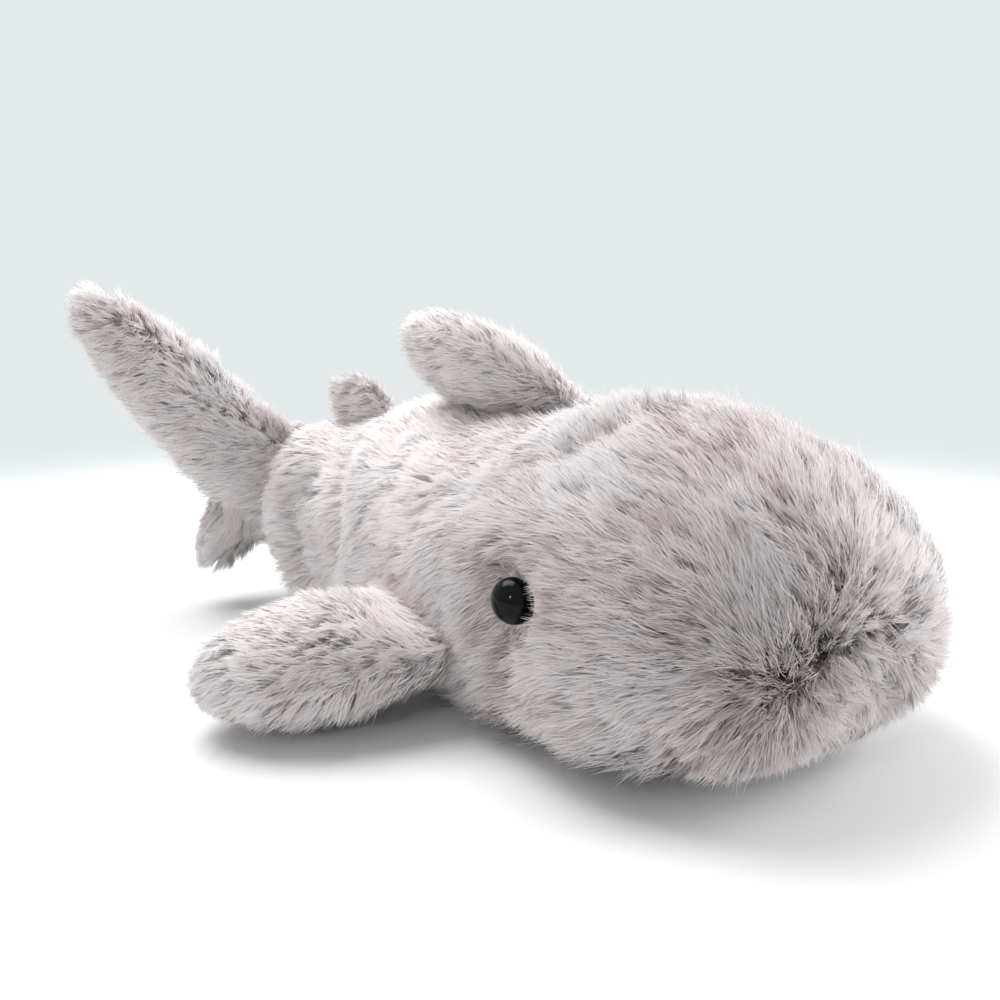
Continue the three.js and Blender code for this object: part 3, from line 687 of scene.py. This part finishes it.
# Head: a left and a right panel meet along the crown and round the blunt snout.
# They hold the eyes, hang over the mouth as a lip, and their pile is the longest on the toy.
mouth_line, mouth_front, mouth_corner = 34, 20, 86
eye_back, eye_height, eye_sunk, eye_turn, eye_hole = 78.0, 55.0, 2.5, np.radians(25), 8.3
eye_out = trunk(np.array(eye_back), angle_at(np.array(eye_back), eye_height, 0), 0)[0] - eye_sunk


def head_half(side, inset, fine=1):
    """Left or right half of the head: the lip all round in front, the cheek above the mouth, and the
    cheek behind it."""
    grids = []
    for start, end, rows, low in ((inset, mouth_front, 44, -np.inf),
                                  (mouth_front, mouth_corner, 40, mouth_line),
                                  (mouth_corner, neck_back, 40, -np.inf)):
        t = np.linspace(0, 1, rows * fine)
        back = (start + (end - start) * (t ** 2.4 if start == inset else t))[:, None] + np.zeros(64 * fine)
        seam = angle_at(back, low, inset)
        angle = seam + (np.pi / 2 - seam) * np.linspace(0, 1, 64 * fine)[None, :]
        half = trunk(back, angle, inset) if side > 0 else trunk(back, np.pi - angle[:, ::-1], inset)
        grids.append(creased(half))
    return grids


def eye_offset(root, ahead=0.0):
    """Vector and distance from the axis of the nearer eye, which looks out to its side and a little
    forward, or from a line so far ahead of it."""
    side = np.sign(root[:, :1])
    axis = np.concatenate([side * np.cos(eye_turn), -np.sin(eye_turn) + 0 * side, 0 * side], 1)
    across = root - np.concatenate([side * eye_out, eye_back - ahead + 0 * side, eye_height + 0 * side], 1)
    across = across - (across * axis).sum(1, keepdims=True) * axis
    return across, np.where(np.abs(root[:, 0]) > 35, np.linalg.norm(across, axis=1), 99)


def at_eye(root):
    """No pile grows under the eye or on the rim just ahead of it."""
    return np.minimum(eye_offset(root)[1], eye_offset(root, 2.5)[1]) < eye_hole


def lay_head(root, normal):
    """The head's lay, turned aside round each eye."""
    flow, upright = lay_trunk(root, normal)
    across, distance = eye_offset(root)
    aside = 2.0 * (1 - eased((distance - 7) / 8)) / np.maximum(distance, 1)
    return flow + aside[:, None] * across, upright


def head_trim(root):
    """How long the head's pile is left: clipped at the parting, round the eyes and under the snout,
    full low on the cheeks."""
    back, _, _ = into_body(root)
    eyes = 0.16 + 0.84 * eased((eye_offset(root, 4)[1] - 7) / 13)
    low, near = 1 - eased(root[:, 2] / 36), 1 - eased(parting(root)[1] / 16)
    under = 1 - 0.9 * low * (1 - eased(back / 45)) + 0.7 * low * eased((back - 45) / 40)
    return eyes * (1 - 0.3 * near) * under


# The head's pile is dimmer than the body's: partly its own greyer colour, partly painted shade on the head's
# front and sides, which face away from the lamps.
head_palette_shaded = ((0.64, 0.575, 0.565), (0.78, 0.73, 0.72), (0.96, 0.945, 0.935), (0.85, 0.88, 0.935),
                (0.62, 0.56, 0.555))
head_pile = plush_pile("head_pile", head_palette_shaded, body_palette)
for side, word in sides:
    walls = zip(head_half(side, root_inset), head_half(side, root_inset + cloth_wall))
    joined_at_neck(sew(f"head_cloth_{word}", backing, *walls), f"head_panel_{word}")
    strips = zip(("snout", "cheek", "neck"), (0.41, 0.29, 0.265), head_half(side, pile_inset, 2))
    for k, (part, locks, grid) in enumerate(strips):
        strip = pile(f"head_pile_{word}_{part}", head_pile, [grid], lay_head, 13.5, locks,
                     seed=40 + 3 * (side > 0) + k, bare=at_eye, shorter=head_trim)
        joined_at_neck(strip, f"head_panel_{word}")

# Lower jaw: a chin panel over its own stuffing, hinged in the corners of the mouth.
# The cheeks' pile hangs over it, so the mouth's line doesn't show.
jaw_line, jaw_front, jaw_corner, jaw_inset = 33.2, 20.8, 85.5, 7


def chin_grid(inset, rows=44, columns=80):
    """The chin from its front wall to the mouth's corners, from the right mouth line under the jaw to
    the left one."""
    front_back = jaw_front + (inset - jaw_inset)
    back = np.linspace(front_back, jaw_corner, rows)[:, None] + np.zeros(columns)
    bowl = trunk(back, under_body(back, jaw_line, inset, columns), inset)
    centre = np.array([0, front_back, jaw_line])
    front = centre + (bowl[:1] - centre) * np.linspace(0, 1, 10)[:-1, None, None]
    return np.concatenate([front, bowl])


def chin_trim(root):
    """The chin's pile grows longer towards the mouth's corners."""
    return 0.8 + 0.5 * eased((root[:, 1] - 21) / 30)


chin_cloth = sew("chin_cloth", backing, (chin_grid(jaw_inset), chin_grid(jaw_inset + cloth_wall)))
on_body(chin_cloth, "jaw", "long_pile_plush", "chin_panel")
chin_bowl = chin_grid(jaw_inset + 0.2)[12:]
chin_pile = pile("chin_pile", head_pile, [chin_bowl], lay_trunk, 13.5, 0.20, seed=51, shorter=chin_trim)
on_body(chin_pile, "jaw", "long_pile_plush", "chin_panel")

# Eyes: glossy black plastic domes on a shank, locked inside the head by a washer.
# Each is one lathe-turned form with a rolled rim.
def turned(name, material, profile, place, side, steps=64):
    """A profile of (radius, height) pairs turned round the eye's axis, for the left (1) or right (-1)."""
    profile, angle = np.array(profile), np.linspace(0, 2 * np.pi, steps + 1)[None, :, None]
    radius, height = profile[:, 0][:, None, None], profile[:, 1][:, None, None]
    axis = np.array([side * np.cos(eye_turn), -np.sin(eye_turn), 0])
    level = np.array([np.sin(eye_turn), side * np.cos(eye_turn), 0])
    ring = level * np.cos(angle) + np.array([0, 0, 1]) * np.sin(angle)
    return sew(name, material, (np.array(place) + axis * height + radius * ring, None))


eye_black, tree, shader = new_material("eye_black")
shader.inputs["Specular IOR Level"].default_value = 0.14
where, haze = add_node(tree, "TexCoord"), add_node(tree, "TexNoise", Scale=700, Detail=5)
rub, dye = add_node(tree, "MapRange", To_Min=0.04, To_Max=0.10), add_node(tree, "ValToRGB")
dye.color_ramp.elements[0].color = (0.002, 0.002, 0.003, 1)
dye.color_ramp.elements[1].color = (0.005, 0.005, 0.006, 1)
link = tree.links.new
link(where.outputs["Object"], haze.inputs["Vector"])
link(haze.outputs["Fac"], rub.inputs["Value"])
link(haze.outputs["Fac"], dye.inputs["Fac"])
link(rub.outputs["Result"], shader.inputs["Roughness"])
link(dye.outputs["Color"], shader.inputs["Base Color"])

eye_radius, dome_height, shank_radius, shank_foot = 7.5, 6, 2.0, -11
dome = [(eye_radius * np.sin(a), dome_height * np.cos(a)) for a in np.linspace(0, np.pi / 2, 20)]
dome += [(eye_radius, -0.5), (7.2, -1.0), (6.6, -1.2), (2.3, -1.2), (shank_radius, -1.5)]
dome += [(shank_radius, shank_foot + 0.4), (1.6, shank_foot), (0, shank_foot)]
washer_white = knitted("washer_plastic", (0.78, 0.78, 0.76), 2.5, 0.02, 0.45)
for side, word in sides:
    eye = turned(f"eye_dome_{word}", eye_black, dome, (side * eye_out, eye_back, eye_height), side)
    on_body(eye, "head", "eye_plastic", f"eye_{word}")
    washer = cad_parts[f"eye_washer_{word}"]
    washer.data.materials.clear()
    washer.data.materials.append(washer_white)

# Side fins: fat flippers of an upper and a lower plush half over stuffing, lying out on each side.
# Their pile runs out to the tip and the trailing edge, and their roots are sunk in the body's plush.
fin_taper, fin_filled, fin_locks = 0.22, 0.42, 0.265


def fin_grid(fin, inset, place, axes, rows=34, around=49):
    """A stuffed fin: oval rings that widen from the pinched root, taper and round off at the tip, and
    sweep back. Axes are its thickness, its chord towards the trailing edge, and its length."""
    span, pinch = fin["length"] - inset, fin["pinch"]
    z = (-pinch + (span + pinch) * np.sin(np.linspace(0, np.pi / 2, rows)))[:, None]
    along = np.clip(z / span, 0, 1)
    rounded = np.sqrt(1 - along ** 4)
    full = eased(along / fin_filled)
    chord = (fin["chord"] / 2 * (1 - fin_taper * along) - inset) * rounded
    thick = ((pinch + (fin["thickness"] - pinch) * full) / 2 - inset * (0.4 + 0.6 * full)) * rounded
    angle = np.linspace(2 * np.pi, 0, around)[None, :]
    swept = fin["sweep"] * along ** 1.3 + chord * np.sin(angle)
    local = np.stack([thick * np.cos(angle), swept, z + 0 * angle], -1)
    root = np.broadcast_to([0, 0, -pinch - 1.0], local[:1].shape)
    points = np.concatenate([root, local]) @ np.array(axes) + np.array(place)
    points[..., 2] = np.maximum(points[..., 2], max(inset - 4, 0.3))
    return points


def fin_axes(along, lengthwise):
    """Thickness, chord and length directions, with the chord along the body."""
    lengthwise = np.array(lengthwise) / np.linalg.norm(lengthwise)
    thickness = np.cross(along, lengthwise)
    thickness /= np.linalg.norm(thickness)
    return [thickness, np.cross(lengthwise, thickness), lengthwise]


def course(back):
    """The centre line's point, its direction to the tail and its left."""
    turn = max(back - neck_back, 0) / bend_radius
    x, y = -bend_radius * (1 - np.cos(turn)), min(back, neck_back) + bend_radius * np.sin(turn)
    along, left = np.array([-np.sin(turn), np.cos(turn), 0]), np.array([np.cos(turn), np.sin(turn), 0])
    return np.array([x, y, 0]), along, left


def lay_fin(axes, lengthwise, twist=0.0, parted=0.36, droop=0.15):
    """A fin's lay: away from its leading edge and out to the tip. At the edge itself the pile stands up
    and parts; a twist turns the parting round the fin, towards its right face."""
    chord = axes[1] * np.cos(twist) + axes[0] * np.sin(twist)
    thickness = axes[0] * np.cos(twist) - axes[1] * np.sin(twist)

    def lay(root, normal):
        leading = -(normal * chord).sum(1)
        aside = np.sign((normal * thickness).sum(1))[:, None] * thickness * 0.6 * parted
        flow = chord + lengthwise * axes[2] + aside + np.array([0, 0, -droop])
        return flow, parted * eased((leading - 0.6) / 0.4)
    return lay


def sunk(root):
    """No pile grows where a form is sunk in the trunk."""
    return outside_trunk(root, 3) < 0


def stuffed_form(name, body, form, place, axes, cover, filling, lay, length, seed, cut=0.38, paler=0.3):
    """A stuffed form's cloth and pile, fixed in the toy's frame, and its stuffing on its body. The name
    leaves a gap for each one's kind, cover and filling are the nodes that they replace, and cut is the
    share by which the pile is shorter towards the tip."""
    def trim(root):
        return 1 - cut * eased(((root - place) @ axes[2] / form["length"] - 0.55) / 0.4)

    outer, inner = (fin_grid(form, inset, place, axes) for inset in (root_inset, root_inset + 1.2))
    cloth = sew(name.format("cloth"), backing, (outer, inner))
    hair = pile(name.format("pile"), body_pile, [fin_grid(form, root_inset + 0.1, place, axes, 90, 97)],
                lay, length, fin_locks, seed, bare=sunk, shorter=trim, paler=paler)
    for piece in (cloth, hair):
        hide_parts(*cover)
        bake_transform(piece)
    inside = fin_grid(form, root_inset + 1.5, place, axes, 20, 33)
    core = sew(name.format("stuffing"), stuffing, (inside, None))
    on_body(core, body, "stuffing", filling)


stuffing = knitted("fibre_stuffing", (0.86, 0.86, 0.84), 3.2, 0.8, 0.95)
pectoral = {"length": 79, "chord": 72, "thickness": 42, "sweep": 8, "pinch": 16}
pectoral_back, pectoral_height, pectoral_sunk = 145, 26, 0.4
pectoral_out, pectoral_down = 0.6 * pectoral["length"], 5.5
for side, word in sides:
    place, along, left = course(pectoral_back)
    half, _, _ = trunk_section(np.array(float(pectoral_back)), 0)
    place = place + left * side * (float(half) - pectoral_sunk) + np.array([0, 0, pectoral_height])
    axes = fin_axes(along, left * side * pectoral_out - np.array([0, 0, pectoral_down]))
    name = f"pectoral_{word}"
    stuffed_form(name + "_{}", name, pectoral, place, axes,
                 (name + "_upper", name + "_lower"), name + "_filling",
                 lay_fin(axes, 1.2, parted=0.12, droop=0.9), length=11, seed=60 + side)

# Back fins: a large soft dorsal fin that has flopped over to the right, and a small one behind it.
# Each is a left and a right half sewn round the edge over a little stuffing.
dorsal = {"length": 54, "chord": 74, "thickness": 30, "sweep": 22, "pinch": 12}
second_dorsal = {"length": 26, "chord": 38, "thickness": 18, "sweep": 6, "pinch": 9}
for name, fin, back, lean, length, seed in (("dorsal", dorsal, 166, np.radians(50), 11.5, 75),
                                            ("second_dorsal", second_dorsal, 262, np.radians(15), 9, 73)):
    place, along, left = course(back)
    _, top, _ = trunk_section(np.array(float(back)), 0)
    place = place + np.array([0, 0, float(top)])
    axes = fin_axes(along, np.array([0, 0, np.cos(lean)]) - left * np.sin(lean))
    stuffed_form(name + "_{}", name, fin, place, axes,
                 (name + "_left", name + "_right"), name + "_filling", lay_fin(axes, 0.6),
                 length=length, seed=seed, cut=0.2, paler=0.75)

# Tail: a long upper and a short lower lobe on one stem, sewn of a left and a right half.
# The pile parts along the front edge of the upper lobe and feathers out to both sides.
tail_back, tail_height, tail_curl, stem_length = 298, 62, np.radians(30), 21
tail_turn = body_bend * (body_length - 16) / body_length + tail_curl
tail_along = np.array([-np.sin(tail_turn), np.cos(tail_turn), 0])
tail_side = np.array([np.cos(tail_turn), np.sin(tail_turn), 0])
tail_place = course(tail_back)[0] + np.array([0, 0, tail_height])
stem = {"length": 45, "chord": 44, "thickness": 42, "sweep": 0, "pinch": 42}
upper = {"length": 112, "chord": 48, "thickness": 38, "sweep": 0, "pinch": 28.5}
lower = {"length": 52, "chord": 32, "thickness": 26, "sweep": 0, "pinch": 19.5}


def lobe_axes(lift):
    """Thickness, chord and length directions of a lobe that leaves the stem at an angle upwards."""
    lengthwise = tail_along * np.cos(lift) + np.array([0, 0, np.sin(lift)])
    chord = np.cross(lengthwise, tail_side)
    return [np.cross(chord, lengthwise), chord, lengthwise]


stem_axes = [-tail_side, np.array([0, 0, 1.0]), tail_along]
upper_axes, lower_axes = lobe_axes(np.radians(48)), lobe_axes(np.radians(-60))
front_down = [lower_axes[0], -lower_axes[1], lower_axes[2]]
fork = tail_place + tail_along * stem_length
for word, form, place, axes, lay, cut, seed in (
        ("stem", stem, tail_place, stem_axes, lay_fin(stem_axes, 6.0), 0, 80),
        ("upper", upper, fork, upper_axes, lay_fin(upper_axes, 1.0, twist=0.6), 0.1, 81),
        ("lower", lower, fork, lower_axes, lay_fin(front_down, 1.6), 0.1, 82)):
    stuffed_form("tail_{}_" + word, "tail", form, place, axes, ("tail_left", "tail_right"),
                 "tail_filling", lay, length=12, seed=seed, cut=cut)

# Sleeve and hem: a smooth lining tube holds the hand, and a turned hem finishes its slanted mouth.
# Both follow the inside of the plush from the neck to the mouth under the tail.
ray_foot, ray_reach, sleeve_front = 40, 110.0, 112


def section_rings(inset, places, leans, around=72):
    """Rings where slanted planes cut the inside of the trunk: each plane stands on the centre line at a
    place and leans back, and along every ray in it the trunk's surface is found by halving."""
    angle = np.linspace(0, 2 * np.pi, around + 1)
    rings = []
    for back, lean in zip(places, leans):
        foot, along, left = course(back)
        up = along * np.sin(lean) + np.array([0, 0, np.cos(lean)])
        centre = foot + up * ray_foot
        ray = left * np.cos(angle)[:, None] + up * np.sin(angle)[:, None]
        low, high = np.zeros((around + 1, 1)), np.full((around + 1, 1), ray_reach)
        for _ in range(26):
            half = (low + high) / 2
            point = centre + ray * half
            out = (outside_trunk(point, inset) > 0) | (point[:, 2] < inset - 0.5)
            low, high = np.where(out[:, None], low, half), np.where(out[:, None], half, high)
        rings.append(creased(centre + ray * low))
    return np.array(rings)


lining = knitted("lining_cloth", (0.60, 0.57, 0.565), 0.8, 0.12, 0.75)
hem_cloth = knitted("hem_cloth", (0.52, 0.485, 0.48), 0.8, 0.2, 0.8)
run, sleeve_end = np.linspace(0, 1, 40), mouth_foot - 13
places, leans = sleeve_end + (sleeve_front - sleeve_end) * run, mouth_lean * (1 - eased(run * 1.6))
walls = tuple(section_rings(inset, places, leans)[::-1] for inset in (8.6, 10.0))
on_body(sew("sleeve_lining", lining, walls), "torso", "lining_cloth", "hand_sleeve")
rows = np.linspace(0, 12, 9)
walls = tuple(section_rings(inset, mouth_foot - rows, [mouth_lean] * 9)[::-1] for inset in (8.5, 11.0))
on_body(sew("sleeve_hem", hem_cloth, walls), "torso", "lining_cloth", "opening_hem")

# Inside the head and jaw: stuffing round a pocket for the fingers and one for the thumb.
# Smooth lining closes both across the mouth, as palate and tongue.
def pocket_grid(width, height, front, end, middle, inset, rows=30, around=48):
    """A flat oval pocket, rounded off at its front end."""
    t = np.linspace(0, 1, rows)[:, None]
    back = front + inset + (end - front - inset) * t ** 1.6
    opened = swell(back - front - inset, 26, 2.2)
    angle = np.linspace(0, 2 * np.pi, around + 1)[None, :]
    side = np.sign(np.cos(angle)) * np.abs(np.cos(angle)) ** 0.7
    rise = np.sign(np.sin(angle)) * np.abs(np.sin(angle)) ** 0.7
    height = middle + (height / 2 - inset) * opened * rise
    return np.stack([(width / 2 - inset) * opened * side, back + 0 * angle, height], -1)


def stuffing_grid(inset, front, end, low, high, rows=36, around=64):
    """The stuffing inside the trunk's plush between two heights: the section cut off flat below and
    above, and closed by its middle at both ends."""
    t = np.linspace(0, 1, rows)[:, None]
    back = front + (end - front) * t ** 1.5 + np.zeros(around + 1)
    angle = np.linspace(0, 2 * np.pi, around + 1)[None, :] + np.zeros((rows, 1))
    points = trunk(back, angle, inset)
    points[..., 2] = np.clip(points[..., 2], low, high)
    level = (max(low, 0) + min(high, 100)) / 2
    middle = np.array([0, 1, 0]) * points[..., 1:2] + np.array([0, 0, level])
    return np.concatenate([middle[:1], points, middle[-1:]])


def sew_pocket(name, node, body, width, height, front, end):
    """A pocket of lining, at the height of the node that it replaces."""
    low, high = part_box(node)
    middle = (low.z + high.z) * 500
    walls = tuple(pocket_grid(width, height, front, end, middle, inset) for inset in (0, 1.5))
    on_body(sew(name, lining, walls), body, "lining_cloth", node)


def stuff(name, node, body, grid):
    """Stuffing that replaces a node, on a body."""
    on_body(sew(name, stuffing, (grid, None)), body, "stuffing", node)


head_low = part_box("head_filling")[0].z * 1000
stuff("head_stuffing", "head_filling", "head", stuffing_grid(9, 9.2, 96, head_low, 200))
sew_pocket("finger_lining", "finger_pocket", "head", 88, 26, 36, 100)
jaw_low, jaw_high = (corner.z * 1000 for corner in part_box("jaw_filling"))
jaw_core = stuffing_grid(jaw_inset + 3, jaw_front + 4, 84, jaw_low, jaw_high)
stuff("jaw_stuffing", "jaw_filling", "jaw", jaw_core)
sew_pocket("thumb_lining", "thumb_pocket", "jaw", 32, 20, 44, 84)

mouth_cloth = knitted("mouth_cloth", (0.46, 0.34, 0.35), 0.8, 0.15, 0.8)
for name, node, body, inset in (("palate", "palate_lining", "head", 8.6),
                                ("tongue", "tongue_lining", "jaw", jaw_inset + 2.2)):
    low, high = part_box(node)
    start, end = (low.y - cad_box[0].y) * 1000, (high.y - cad_box[0].y) * 1000
    back = np.linspace(start, end, 60)[:, None] + np.zeros(60)
    half = np.maximum(trunk(back, angle_at(back, mouth_line, inset), inset)[..., 0], 1)
    x = half * np.linspace(-1, 1, 60)[None, ::-1]
    sheet, under = (np.stack([x, back, np.full(back.shape, edge.z * 1000)], -1) for edge in (high, low))
    on_body(sew(name, mouth_cloth, (sheet, under)), body, "lining_cloth", node)
